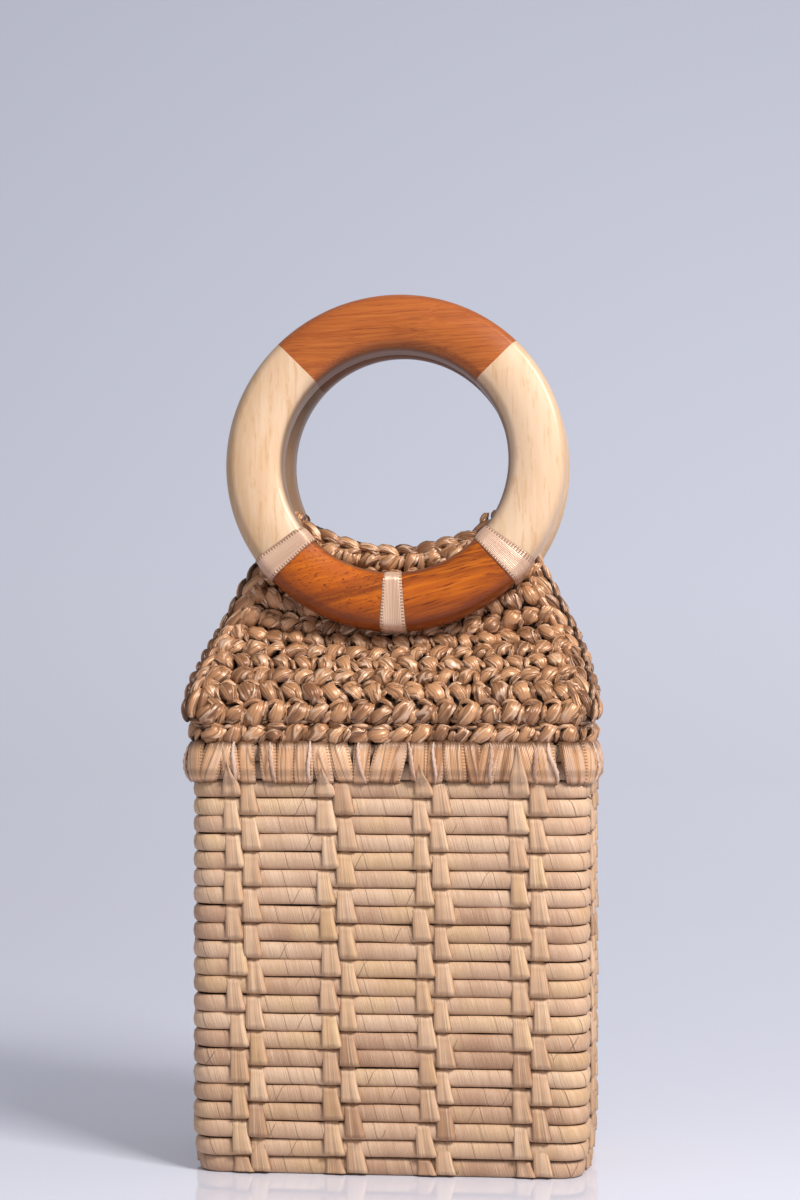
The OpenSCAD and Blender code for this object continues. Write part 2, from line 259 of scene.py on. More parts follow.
def blend_colour(tree, factor, a, b):
    """Mix of two colours; a colour is a socket or three linear numbers."""
    a = a if isinstance(a, bpy.types.NodeSocket) else (*a, 1)
    b = b if isinstance(b, bpy.types.NodeSocket) else (*b, 1)
    return wire(tree, "ShaderNodeMix", {0: factor, 6: a, 7: b}, data_type="RGBA").outputs[2]


def tint(tree, colour, other, mask, amount):
    """The colour moved towards another by a mask times an amount."""
    return blend_colour(tree, times(tree, mask, amount), colour, other)


def new_group(name, inputs, outputs):
    """Shader node group from (socket name, socket type) lists, with the sockets inside it."""
    tree = bpy.data.node_groups.new(name, "ShaderNodeTree")
    for label, kind in inputs:
        tree.interface.new_socket(label, in_out="INPUT", socket_type=kind)
    for label, kind in outputs:
        tree.interface.new_socket(label, in_out="OUTPUT", socket_type=kind)
    return tree, tree.nodes.new("NodeGroupInput").outputs, tree.nodes.new("NodeGroupOutput").inputs


def grain_group():
    """Streaks: noise on coordinates stretched along the fibres, fine and broad."""
    tree, into, out = new_group(
        "grain_streaks",
        [("Vector", "NodeSocketVector"), ("Stretch", "NodeSocketVector")],
        [("Fine", "NodeSocketFloat"), ("Broad", "NodeSocketFloat")],
    )
    scaled = vector_calc(tree, "MULTIPLY", into["Vector"], into["Stretch"])
    tree.links.new(noise(tree, scaled, 1.0, 4.0, 0.65)[0], out["Fine"])
    tree.links.new(noise(tree, scaled, 0.22, 2.0)[0], out["Broad"])
    return tree


def satin_group():
    """Ribbon threads: fine lines along the ribbon, a row of dots along both its edges, and the
    narrow strips outside the dots."""
    tree, into, out = new_group(
        "satin_threads",
        [("Along", "NodeSocketFloat"), ("Across", "NodeSocketFloat"), ("Lines", "NodeSocketFloat")],
        [("Thread", "NodeSocketFloat"), ("Edge", "NodeSocketFloat"), ("Side", "NodeSocketFloat")],
    )
    wave = calc(tree, "SINE", times(tree, into["Across"], into["Lines"]))
    dots = calc(tree, "SINE", times(tree, into["Along"], 5.2))
    side = apart(tree, times(tree, into["Across"], 2.0), 1.0)
    border = times(tree, ramp(tree, side, 0.72, 0.8), ramp(tree, side, 0.98, 0.9))
    tree.links.new(calc(tree, "MULTIPLY_ADD", wave, 0.5, 0.5), out["Thread"])
    tree.links.new(times(tree, border, ramp(tree, dots, -0.3, 0.5)), out["Edge"])
    tree.links.new(ramp(tree, side, 0.9, 1.0), out["Side"])
    return tree


def fold_group():
    """Folded ribbon: a slow noise drawn out along the ribbon, stepped where it crosses its middle
    value. Dark marks painted shade in the crease on the step's low side, and Glint a painted highlight on its
    high side."""
    tree, into, out = new_group(
        "satin_folds",
        [("Vector", "NodeSocketVector")],
        [("Height", "NodeSocketFloat"), ("Dark", "NodeSocketFloat"), ("Glint", "NodeSocketFloat")],
    )
    slow = noise(tree, into["Vector"], 1.0, 1.0, 0.4)[0]
    tree.links.new(plus(tree, ramp(tree, slow, 0.46, 0.54), times(tree, slow, 2.0)), out["Height"])
    tree.links.new(ramp(tree, apart(tree, slow, 0.465), 0.03, 0.008), out["Dark"])
    tree.links.new(ramp(tree, apart(tree, slow, 0.55), 0.045, 0.01), out["Glint"])
    return tree


def ring_group():
    """From the distance to the ring's axis in its leaning plane, the same for the front ring and for
    the back ring turned round. Wall is 1 on the wall of the hole, and behind the plane on a wider
    strip of the edge. Rim rises to 1 at the ring's outer edge. Dome is the height in metres of a face
    that swells to its middle by a square."""
    tree, into, out = new_group(
        "ring_section",
        [("Vector", "NodeSocketVector")],
        [("Wall", "NodeSocketFloat"), ("Rim", "NodeSocketFloat"), ("Dome", "NodeSocketFloat")],
    )
    hole_r, wider = RING_R - RING_W, 0.004
    spot = wire(tree, "ShaderNodeSeparateXYZ", {0: into["Vector"]}).outputs
    y = calc(tree, "SUBTRACT", calc(tree, "ABSOLUTE", spot[1]), -RING_Y * MM)
    z = calc(tree, "SUBTRACT", spot[2], RING_Z * MM)
    up = calc(tree, "MULTIPLY_ADD", z, RING_COS, times(tree, y, -RING_SIN))
    front = calc(tree, "MULTIPLY_ADD", y, RING_COS, times(tree, z, RING_SIN))
    radius = calc(tree, "SQRT", plus(tree, times(tree, spot[0], spot[0]), times(tree, up, up)))
    edge = calc(tree, "SUBTRACT", radius, times(tree, ramp(tree, front, 0.004, 0.001), wider))
    tree.links.new(ramp(tree, edge, (hole_r + 1.6) * MM, (hole_r + 0.1) * MM), out["Wall"])
    off = calc(tree, "SUBTRACT", radius, RING_MID * MM)
    tree.links.new(ramp(tree, off, 0.0, RING_W / 2 * MM), out["Rim"])
    tree.links.new(times(tree, times(tree, off, off), -26.0), out["Dome"])
    return tree


GRAIN, SATIN, FOLDS, RING = grain_group(), satin_group(), fold_group(), ring_group()


def new_material(name, roughness, **sockets):
    """Material with plain values on its shader; an underscore in a socket's name stands for a space."""
    mat = bpy.data.materials.new(name)
    mat.use_nodes = True
    tree = mat.node_tree
    shader = tree.nodes["Principled BSDF"]
    shader.inputs["Roughness"].default_value = roughness
    for key, value in sockets.items():
        shader.inputs[key.replace("_", " ")].default_value = value
    return mat, tree, shader


def piece_uv(tree):
    """U, V and the piece's tone as three values."""
    uv = wire(tree, "ShaderNodeSeparateXYZ", {0: wire(tree, "ShaderNodeUVMap", uv_map="UVMap").outputs[0]})
    tone = wire(tree, "ShaderNodeAttribute", attribute_name="tone").outputs["Fac"]
    return uv.outputs[0], uv.outputs[1], tone


def piece_place(tree, u, v, tone, spread, jump):
    """Place for a noise: u along the piece, v times spread across it, and a jump by its tone."""
    values = {0: u, 1: times(tree, v, spread), 2: times(tree, tone, jump)}
    return wire(tree, "ShaderNodeCombineXYZ", values).outputs[0]


def grain(tree, vector, stretch):
    """Fine and broad streaks at a place."""
    made = wire(tree, "ShaderNodeGroup", {"Vector": vector, "Stretch": stretch}, node_tree=GRAIN).outputs
    return made["Fine"], made["Broad"]


def set_bump(tree, shader, height, strength, distance):
    """The height raises the shader's surface."""
    bump = wire(tree, "ShaderNodeBump", {"Height": height, "Strength": strength, "Distance": distance})
    tree.links.new(bump.outputs[0], shader.inputs["Normal"])


def leaf_material(name, pale, mid, deep, golden, stretch, wraps):
    """Dry leaf: colour drifts from piece to piece, streaks run along the fibres. wraps is the
    length in millimetres between the slanted edges of leaf wound round a row, or 0 for flat leaf.
    Wound leaf gets painted shade in the grooves between rows, flat leaf along its two edges."""
    mat, tree, shader = new_material(name, 0.48, Specular_IOR_Level=0.4)
    u, v, tone = piece_uv(tree)
    side = apart(tree, v, 0.5)
    if wraps:
        u = calc(tree, "MULTIPLY_ADD", v, 9.0, u)
    place = piece_place(tree, u, v, tone, 8.0, 90.0)
    fine, _ = grain(tree, place, stretch)
    _, broad = grain(tree, place, (0.3, 0.6, 1.0))
    _, hue = grain(tree, place, (0.16, 0.3, 3.1))
    drift = plus(tree, times(tree, tone, 0.4), times(tree, broad, 0.8))
    colour = blend_colour(tree, ramp(tree, drift, 0.3, 0.6), deep, mid)
    colour = blend_colour(tree, ramp(tree, drift, 0.55, 0.85), colour, pale)
    colour = tint(tree, colour, golden, ramp(tree, hue, 0.48, 0.66), 0.55)
    colour = tint(tree, colour, deep, ramp(tree, fine, 0.52, 0.36), 0.5)
    colour = tint(tree, colour, LEAF_GLEAM, ramp(tree, fine, 0.54, 0.68), 0.5)
    height = fine
    if wraps:
        saw = calc(tree, "FRACT", plus(tree, calc(tree, "DIVIDE", u, wraps), times(tree, tone, 7.0)))
        crack = times(tree, ramp(tree, saw, 0.045, 0.0), ramp(tree, broad, 0.34, 0.54))
        back = calc(tree, "DIVIDE", calc(tree, "MULTIPLY_ADD", v, -26.0, u), 4.3 * wraps)
        other = calc(tree, "FRACT", calc(tree, "MULTIPLY_ADD", tone, 31.0, back))
        rare = times(tree, ramp(tree, other, 0.012, 0.0), ramp(tree, broad, 0.46, 0.5))
        colour = tint(tree, colour, LEAF_CRACK, calc(tree, "MAXIMUM", crack, rare), 0.85)
        height = plus(tree, times(tree, fine, 0.8), times(tree, saw, 0.8))
        # Painted shade in the grooves between rows, none on the crest or on the inner face
        shade = times(tree, ramp(tree, side, 0.125, 0.19), ramp(tree, side, 0.375, 0.31))
    else:
        # Painted shade along the flat leaf's two edges
        shade = times(tree, ramp(tree, side, 0.44, 0.5), 0.75)
    colour = blend_colour(tree, shade, colour, LEAF_GROOVE_SHADE)
    tree.links.new(colour, shader.inputs["Base Color"])
    set_bump(tree, shader, height, 0.6, 0.0007)
    return mat


def satin_material(
    name, pale, mid, deep, streaks, edges=0.0, folds=0.0, pleats=(0.08, 0.28), round_strand=False,
    bands=(), roughness=(0.2, 0.4), metallic=0.0,
):
    """Satin ribbon: fine threads along it, paler and darker by streaks. edges is the strength of the
    picot dots along both sides and of the painted shade on the narrow strips outside them; folds is
    that of the folds of a gathered ribbon, with painted shade and a painted highlight at each fold,
    and pleats is how close they lie along and across it. A round strand gets painted shade on its side
    towards the cloth. bands are soft strips of painted shade across the ribbon, as (place along, half
    width, strength)."""
    mat, tree, shader = new_material(name, 0.3, Metallic=metallic, Specular_IOR_Level=0.5)
    u, v, tone = piece_uv(tree)
    threads = wire(tree, "ShaderNodeGroup", {"Along": u, "Across": v, "Lines": 90.0}, node_tree=SATIN).outputs
    place = piece_place(tree, u, v, tone, 14.0, 70.0)
    fine, broad = grain(tree, place, (0.12, 1.6, 1.0))
    drift = plus(tree, times(tree, tone, 0.4), times(tree, broad, 0.6))
    colour = blend_colour(tree, ramp(tree, drift, 0.25, 0.55), deep, mid)
    colour = blend_colour(tree, ramp(tree, drift, 0.5, 0.85), colour, pale)
    colour = tint(tree, colour, deep, ramp(tree, fine, 0.48, 0.28), streaks)
    height = plus(tree, times(tree, threads["Thread"], 0.3), times(tree, fine, 2 * streaks))
    if edges:
        colour = tint(tree, colour, deep, threads["Edge"], edges)
        # Painted shade on the narrow strips at the ribbon's edges, where turns and layers meet
        colour = tint(tree, colour, RIBBON_SIDE_SHADE, threads["Side"], 0.6 * edges)
        height = calc(tree, "SUBTRACT", height, threads["Edge"])
    if folds:
        slow = vector_calc(tree, "MULTIPLY", place, (*pleats, 1.0))
        fold = wire(tree, "ShaderNodeGroup", {"Vector": slow}, node_tree=FOLDS).outputs
        # Painted highlight on the high side of each fold step and painted shade in its crease
        colour = tint(tree, colour, FOLD_GLINT, fold["Glint"], 0.46)
        colour = tint(tree, colour, FOLD_CREASE_SHADE, fold["Dark"], 0.5)
        height = calc(tree, "MULTIPLY_ADD", fold["Height"], folds, height)
    if round_strand:
        # Painted shade on the strand's side towards the cloth, as in the pits between stitches
        colour = tint(tree, colour, STRAND_UNDER_SHADE, ramp(tree, apart(tree, v, 0.5), 0.1, 0.28), 0.95)
    # Painted shade in soft bands across the ribbon
    for middle, half, strength in bands:
        band = ramp(tree, apart(tree, u, middle), half, 0.2 * half)
        colour = tint(tree, colour, RIBBON_BAND_SHADE, band, strength)
    tree.links.new(colour, shader.inputs["Base Color"])
    gloss = {"Value": fine, "To Min": roughness[0], "To Max": roughness[1]}
    tree.links.new(wire(tree, "ShaderNodeMapRange", gloss).outputs[0], shader.inputs["Roughness"])
    set_bump(tree, shader, height, 0.6, 0.0005)
    return mat


def wood_material(name, pale, mid, deep, pores, stretch, tilt, amount=0.8, dotted=False, rim=0.0):
    """Varnished wood: broad figure and fine streaks along the grain, with an amount of pores in short
    dashes of their own colour. dotted shortens the pores to dots on the half at negative x. The wall
    of the ring's hole, with a wider strip of the edge behind the ring's plane, gets painted shade and
    less varnish, and rim sets painted shade towards the outer edge."""
    mat, tree, shader = new_material(name, 0.4, Specular_IOR_Level=0.15, Coat_Roughness=0.3)
    spot = wire(tree, "ShaderNodeTexCoord").outputs["Object"]
    in_mm = {"Vector": spot, "Rotation": (0, tilt, 0), "Scale": (1000, 1000, 1000)}
    turned = wire(tree, "ShaderNodeMapping", in_mm).outputs[0]
    warp = vector_calc(tree, "MULTIPLY", noise(tree, turned, 0.03, 2.0)["Color"], (3.0, 3.0, 3.0))
    place = vector_calc(tree, "ADD", turned, warp)
    fine, broad = grain(tree, place, stretch)
    colour = blend_colour(tree, ramp(tree, broad, 0.3, 0.65), deep, mid)
    colour = tint(tree, colour, pale, ramp(tree, fine, 0.42, 0.7), 0.7)
    if dotted:
        x = wire(tree, "ShaderNodeSeparateXYZ", {0: spot}).outputs[0]
        shorter = calc(tree, "MULTIPLY_ADD", ramp(tree, x, 0.002, -0.002), 6.0, 1.0)
        squeeze = wire(tree, "ShaderNodeCombineXYZ", {0: shorter, 1: 1.0, 2: 1.0}).outputs[0]
        place = vector_calc(tree, "MULTIPLY", place, squeeze)
    dash, _ = grain(tree, place, tuple(2.0 * k for k in stretch))
    colour = tint(tree, colour, pores, ramp(tree, dash, 0.44, 0.36), amount)
    ring = wire(tree, "ShaderNodeGroup", {"Vector": spot}, node_tree=RING).outputs
    # Painted shade towards the ring's outer edge, strongest on the lower piece
    colour = tint(tree, colour, deep, ring["Rim"], rim)
    # Painted shade on the hole's wall and on the edge strip between the two rings, with less varnish there
    colour = tint(tree, colour, HOLE_WALL_SHADE, ring["Wall"], 0.8)
    tree.links.new(colour, shader.inputs["Base Color"])
    tree.links.new(calc(tree, "MULTIPLY_ADD", ring["Wall"], -0.3, 0.45), shader.inputs["Coat Weight"])
    set_bump(tree, shader, calc(tree, "MULTIPLY_ADD", dash, 0.00002, ring["Dome"]), 1.0, 1.0)
    return mat


STRAW = leaf_material(
    "wound_leaf", (0.69, 0.465, 0.31), (0.59, 0.37, 0.238), (0.42, 0.235, 0.142), (0.66, 0.43, 0.22),
    stretch=(4.2, 0.3, 1.0), wraps=10.5,
)
LEAF = leaf_material(
    "flat_leaf", (0.69, 0.465, 0.30), (0.59, 0.37, 0.228), (0.40, 0.22, 0.124), (0.66, 0.42, 0.20),
    stretch=(0.05, 1.3, 1.0), wraps=0,
)
CROCHET = satin_material(
    "crocheted_ribbon", (0.70, 0.40, 0.215), (0.49, 0.24, 0.113), (0.19, 0.078, 0.033), 0.35,
    folds=2.5, round_strand=True, roughness=(0.25, 0.43), metallic=0.15,
)
WOUND = satin_material(
    "wound_ribbon", (0.86, 0.53, 0.325), (0.71, 0.40, 0.215), (0.40, 0.18, 0.08), 0.1,
    edges=0.8, folds=0.7, pleats=(0.02, 0.11), roughness=(0.3, 0.44), metallic=0.15,
    # Painted shade bands: under the collar at the top, at the tucked lower edge, and a fainter one low on the
    # outer face
    bands=((19.4, 6.6, 0.9), (1.0, 2.8, 0.7), (5.9, 2.2, 0.36)),
)
PIPING = satin_material("twisted_ribbon", (0.78, 0.57, 0.46), (0.68, 0.46, 0.35), (0.46, 0.26, 0.17), 0.3)
TIE = satin_material(
    "tie_ribbon", (0.66, 0.44, 0.318), (0.59, 0.375, 0.26), (0.33, 0.175, 0.098), 0.1,
    edges=1.0, metallic=0.15,
)
# Near-black sheet inside the crochet: painted shade seen through the gaps between stitches
SHADE = satin_material(
    "painted_shade_sheet", (0.06, 0.027, 0.012), (0.04, 0.017, 0.007), (0.02, 0.009, 0.004), 0.3,
    roughness=(0.7, 0.9),
)
DARK_WOOD = wood_material(
    "reddish_wood", (0.46, 0.138, 0.027), (0.395, 0.102, 0.018), (0.30, 0.068, 0.013), (0.12, 0.024, 0.008),
    stretch=(0.035, 1.7, 1.7), tilt=0.05, amount=0.6, rim=0.35,
)
DARK_WOOD_LOW = wood_material(
    "reddish_wood_low",
    (0.56, 0.142, 0.005), (0.41, 0.084, 0.004), (0.21, 0.038, 0.003), (0.08, 0.013, 0.003),
    stretch=(0.04, 0.8, 0.8), tilt=0.25, dotted=True, rim=0.75,
)
PALE_WOOD = wood_material(
    "pale_wood", (0.69, 0.50, 0.345), (0.655, 0.455, 0.30), (0.59, 0.375, 0.215), (0.50, 0.26, 0.10),
    stretch=(0.3, 0.3, 0.014), tilt=0.04, amount=0.4, rim=0.3,
)


def dress(made, material, body, slot, *nodes):
    """A finished piece gets its material and body, and the solids that it stands for are hidden. slot is not
    used.
    """
    made.data.materials.append(material)
    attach(made, body)
    if nodes:
        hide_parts(*nodes)
    return made


# Basket


ROW_TONE = RNG.uniform(0, 1, FACE_ROWS + RIM_ROWS)
TALL_TIP_X, TALL_TIP, TALL_TIP_NEAR = 50.5, 14.0, 8.0


def slow_waves(t, counts):
    """Sum of sine waves with random height and phase, one for each count of waves in a turn."""
    return sum(RNG.normal(0, 1) * np.sin(k * t + RNG.uniform(0, 6.28)) / k**0.5 for k in counts)


def coil_rows():
    """One swept rod a row: a section with a flat face and round corners, carried along a rounded
    rectangle with slow random waves in its height and thickness, and drawn in at the corners."""
    half_out, half_up, steps, sides = 3.45, 3.42, 256, 16
    s = np.linspace(np.pi, 3 * np.pi, sides, endpoint=False)
    a = s + 0.3 * np.sin(2 * s)
    made = []
    for i in range(FACE_ROWS + RIM_ROWS):
        back = half_out + row_inset(i)
        w, d, r = BASKET_W - 2 * back, BASKET_D - 2 * back, CORNER_R - half_out
        run = np.linspace(0, rect_length(w, d, r), steps, endpoint=False)
        x, y, nx, ny = rect_run(w, d, r, run)
        t = run / run[-1] * 2 * np.pi
        bend = np.abs(nx * ny)[:, None] * 2
        grow = 1 + 0.025 * slow_waves(t, (4, 7, 11, 17, 29))[:, None]
        out = half_out * grow * np.sign(np.cos(a)) * np.abs(np.cos(a)) ** 0.52
        up = half_up * np.sign(np.sin(a)) * np.abs(np.sin(a)) ** 0.8 * (1 - 0.02 * bend)
        lift = 0.16 * slow_waves(t, (2, 3, 5, 9, 14, 22))[:, None] * (i > 0)
        z = np.maximum((i + 0.5) * ROW_H + lift + up, 0.0)
        made.append(np.stack([x[:, None] + out * nx[:, None], y[:, None] + out * ny[:, None], z], -1))
    along = np.linspace(0, rect_length(BASKET_W, BASKET_D, CORNER_R), steps + 1)
    return add_surface("wound_rows", np.array(made), (True, True), along=along, tone=ROW_TONE, outward=True)


def base_rods():
    """Straight rods side by side across the base, rounded at both ends and flat underneath."""
    count, steps, sides = 11, 40, 10
    pitch, half_long, radius, middle = 6.9, 68.5, 3.6, 3.5
    a = np.linspace(0, 2 * np.pi, sides, endpoint=False)
    t = np.linspace(-1, 1, steps)
    y = (np.arange(count) - (count - 1) / 2) * pitch
    swell = radius * np.maximum(1 - np.abs(t) ** 40, 0.02)[None, :, None]
    pts = np.stack(
        np.broadcast_arrays(
            t[None, :, None] * half_long,
            y[:, None, None] + swell * np.cos(a),
            np.maximum(middle + swell * np.sin(a), 0.0),
        ),
        -1,
    )
    return add_surface("base_rows", pts, (False, True), along=t * half_long, outward=True)


def face_columns():
    """Run along the wall and first row of every stitch column, two columns to a pair."""
    flat_x, flat_y = BASKET_W - 2 * CORNER_R, BASKET_D - 2 * CORNER_R
    q = np.pi * CORNER_R / 2
    middles = [(flat_y / 2, flat_y), (flat_y + q + flat_x / 2, flat_x)]
    middles += [(m + flat_x + flat_y + 2 * q, flat) for m, flat in middles]
    step = (STITCH_W + PAIR_GAP) / 2
    columns = []
    for middle, flat in middles:
        pairs = int((flat - 2 * STITCH_W - PAIR_GAP) // PAIR_PITCH) + 1
        for n in range(pairs):
            at = middle + (n - (pairs - 1) / 2) * PAIR_PITCH
            columns += [(at - step + 0.6, -1), (at + step - 0.6, 0)]
    return columns


def leaf_straps():
    """Leaf over two rows: it comes out of the upper row, stands out over the lower row and tucks
    into the groove below. The left edge is upright and the right edge flares out downwards, and
    both columns of a pair drift to the right on their way down. A leaf of the top row ends in a point
    that lies over the ribbon, tall in one column of the front and of random height elsewhere."""
    low, high, run = [], [], []
    columns = face_columns()
    drifts = np.repeat(RNG.uniform(1.0, 6.0, len(columns) // 2), 2)
    for (at, first), drift in zip(columns, drifts):
        start = np.arange(first, FACE_ROWS, 2)
        low.append(np.maximum(start, 0))
        high.append(np.minimum(start + 1, FACE_ROWS - 1))
        run.append(at + drift * (0.5 - start / FACE_ROWS) + RNG.normal(0, 0.45, len(start)))
    low, high, run = np.concatenate(low), np.concatenate(high), np.concatenate(run)
    n, lines, cols = len(low), 11, 8
    t = np.linspace(0, 1, lines)[None, :, None]
    c = np.sin(np.linspace(-np.pi / 2, np.pi / 2, cols))[None, None, :]
    each = draws(n)
    tip = ((low == high) & (low == FACE_ROWS - 1))[:, None, None]
    z0 = np.maximum(low * ROW_H + 0.1, 0.1)[:, None, None]
    near = np.abs(run - front_run(TALL_TIP_X)) < TALL_TIP_NEAR
    point_up = np.where(near, TALL_TIP, RNG.uniform(3, 10, n))
    z1 = ((high + 1) * ROW_H + 0.1)[:, None, None] + tip * point_up[:, None, None]
    z = z0 + (z1 - z0) * t
    inset = row_inset(low)[:, None, None] * (1 - t) + row_inset(high)[:, None, None] * t
    two = (high > low)[:, None, None]
    rise = np.clip((0.8 - t) / 0.35, 0, 1) * two + (1 - two)
    crown = 1 - np.abs(2 * t - 1) ** 24
    out = -1.9 + 2.1 * crown + 0.9 * rise * crown - inset
    over = tip * np.clip((z - FACE_H + 0.6) / 1.5, 0, 1)
    out = out * (1 - over) + over * 3.0
    edge = np.abs(c) ** 12 * (0.5 + 0.9 * rise) * (1 - 0.6 * over)
    ridge = 0.7 * np.exp(-(((c - 0.6) / 0.25) ** 2)) * rise * crown
    pleats = each(0.1, 0.3) * np.sin(each(2.0, 4.0) * np.pi * c + each(0, 6.28))
    pleats = pleats * crown * (0.4 + 0.6 * rise)
    left = -STITCH_W / 2 * each(0.98, 1.12)
    right = each(0.8, 1.8) + each(2.6, 3.4) * (1 - t) ** each(0.8, 1.5)
    point = tip * np.clip((t - 0.35) / 0.65, 0, 1)
    middle = (left + right) / 2 + each(-0.5, 1.0) * point
    half = (right - left) / 2 * (1 - 0.95 * point)
    at = run[:, None, None] + middle + half * c + 0.25 * (2 * t - 1) * each(-1, 1)
    pts = wall_point(at, out - edge + ridge + pleats, z)
    tone = ROW_TONE[high] * 0.75 + RNG.uniform(0, 0.25, n)
    along, across = np.linspace(0, 3, lines), (c[0, 0] + 1) / 2
    return add_surface("leaf_straps", pts, along=along, across=across, tone=tone)


# Ribbon rim


def rim_path(samples):
    """Section of a ribbon turn as (out, height over the face): straight lines from under the outer
    edge up, over the top and down inside, at even steps of length."""
    corners = np.array([
        (-1.2, -1.2), (0.7, -0.7), (1.9, 1.0), (2.5, 4.4), (2.5, 8.4), (1.8, 12.4), (0.4, 14.6), (-1.8, 15.4),
        (-5.4, 15.4), (-7.6, 13.8), (-8.1, 10.4), (-8.1, 3.4), (-7.2, 0.8),
    ])
    length = np.r_[0, np.cumsum(np.linalg.norm(np.diff(corners, axis=0), axis=1))]
    t = np.linspace(0, length[-1], samples)
    return np.stack([np.interp(t, length, corners[:, k]) for k in (0, 1)], -1), t


def rim_turns():
    """Ribbon turns laid over each other: each a strip with bowed edges and its own slant, highest
    along its middle. Two wedges are left open on the front, where the turns beside them lean away."""
    total = rect_length(BASKET_W, BASKET_D, CORNER_R)
    n, cols = 66, 15
    path, length = rim_path(28)
    run = np.arange(n) * total / n + RNG.normal(0, 0.7, n)
    slant = RNG.normal(0.02, 0.15, n)
    for x, push, lean in ((49.0, 3.4, -0.4), (67.0, 2.6, -0.3)):
        off = run - front_run(x)
        run = run + push * np.sign(off) * np.exp(-np.abs(off) / 6)
        slant = slant + lean * (off > 0) * np.exp(-np.abs(off) / 9)
    c = np.linspace(-1, 1, cols)[None, None, :]
    each = draws(n)
    up = path[None, :, None, 1] + np.zeros((n, 1, cols))
    out = path[None, :, None, 0]
    fold = each(0.03, 0.17) * np.sin(each(1.5, 4.5) * np.pi * c + each(0, 6.28))
    puff = each(-0.25, 0.3) + fold + 0.3 * (1 - c * c) - 0.5 * np.abs(c) ** 8
    side = np.sign(out + WALL_T / 2)
    low = np.clip((2.4 - up) / 3, 0, 1)
    top = np.clip((up - 12.9) / 2.2, 0, 1)
    at = run[:, None, None] + each(3.1, 4.7) * c * (1 - 0.12 * low) + slant[:, None, None] * (up - 7.4)
    z = FACE_H + up - each(-0.5, 0.9) * low + (puff + 0.2) * top
    pts = wall_point(at, out + puff * side * (1 - top), z)
    return add_surface("rim_turns", pts, along=length)


def rim_piping():
    """Narrow twisted ribbons that stand out between the turns on the outer face."""
    total = rect_length(BASKET_W, BASKET_D, CORNER_R)
    n = 30
    run = np.arange(n) * total / n + RNG.normal(0, 3.5, n)
    t = np.array([0, 1 / 3, 2 / 3, 1])
    foot = -1.3
    z = FACE_H + foot + (RNG.uniform(14.0, 15.4, n)[:, None] - foot) * t
    out = np.array([0.9, 3.15, 2.75, 0.9])[None, :] + RNG.normal(0, 0.1, (n, 4))
    at = run[:, None] + RNG.normal(-0.8, 1.0, n)[:, None] * (t - 0.5) * 2 + RNG.normal(0, 0.35, (n, 4))
    z, out, at = (through(v, 22) for v in (z, out, at))
    paths = wall_point(at, out, z)
    normals = unit(wall_point(at, out + 1, z) - paths)
    wide = RNG.uniform(0.65, 0.95, n)
    return strands("rim_piping", paths, normals, wide, 0.65, fold=0.35, twist=5.0)


# Crochet: templates give four points a strand as (along the row, up the row, out of the cloth)

FAN = np.array([
    [(-2.3, -4.0, 0.5), (-1.5, -1.4, 3.5), (0.9, 1.2, 3.7), (2.3, 3.9, 0.7)],
    [(2.2, -4.2, 0.4), (3.0, -2.0, 2.9), (4.1, 0.4, 3.2), (5.2, 3.0, 0.9)],
    [(-4.2, 2.0, 0.9), (-1.6, 3.5, 2.9), (1.6, 3.4, 3.0), (4.4, 2.0, 0.9)],
])
FAN_WIDE = np.array([3.3, 1.5, 1.3])
FAN_THICK = np.array([1.7, 1.3, 1.1])
LINK = np.array([
    [(-4.3, 0.5, 0.3), (-1.6, 2.2, 2.0), (1.6, 1.5, 2.5), (4.3, 0.1, 1.2)],
    [(-4.3, -0.5, 0.5), (-1.6, -2.1, 1.7), (1.6, -1.4, 2.3), (4.3, -0.1, 1.0)],
])
LINK_LEN = 6.4
KNOT_X = 34.0
KNOT = np.array([
    [(-1.0, -2.0), (0.5, 1.5), (0.0, 4.5), (2.0, 7.5)],
    [(3.0, -2.5), (2.0, 1.0), (4.0, 4.0), (2.5, 6.5)],
    [(-3.0, 0.5), (0.0, 2.2), (3.0, 2.4), (5.5, 0.8)],
])


def flap_table():
    """Length along the flap from its fold, with y, z and the unit direction there: the flap eases
    from the fold to a plane just behind the ring by a smooth step."""
    offset = RING_T / 2 + 0.3 + CROCHET_T / 2
    z = np.arange(FOLD_Z - 12, FOLD_Z + 110, 0.5)
    flat = RING_Y + offset * RING_COS + (z - RING_Z + offset * RING_SIN) * math.tan(RING_LEAN)
    t = np.clip((z - FOLD_Z) / (RING_RISE + RING_EDGE / 2), 0, 1)
    y = FOLD_Y + (flat - FOLD_Y) * t * t * (3 - 2 * t)
    s = np.r_[0, np.cumsum(np.hypot(np.diff(y), np.diff(z)))]
    s = s - np.interp(FOLD_Z, z, s)
    d = unit(np.stack([np.gradient(y), np.gradient(z)], -1))
    return s, y, z, d[:, 0], d[:, 1]


FLAP_S, FLAP_Y, FLAP_Z, FLAP_DY, FLAP_DZ = flap_table()
TIE_X = RING_MID * math.cos(math.radians(TIE_ANGLE))
CORNER_Z = RING_Z - RING_MID * math.sin(math.radians(TIE_ANGLE)) * RING_COS + 14.0
MIDDLE_Z = RING_Z - (RING_R - RING_W) * RING_COS + 8.0
BASE_HALF, TOP_HALF, FLAP_SWELL = BASKET_W / 2 + 2.0, TIE_X + 2.0, 5.0
MID_LEN, CORNER_LEN = np.interp(MIDDLE_Z, FLAP_Z, FLAP_S), np.interp(CORNER_Z, FLAP_Z, FLAP_S)
FLAP_ROWS = round(MID_LEN / FLAP_PITCH)


def flap_half(z):
    """Half width at a height: straight from the fold to the corner, swollen between them by a sine."""
    t = np.clip((z - FOLD_Z) / (CORNER_Z - FOLD_Z), 0, 1)
    return BASE_HALF + (TOP_HALF - BASE_HALF) * t + FLAP_SWELL * np.sin(np.pi * t**0.8)


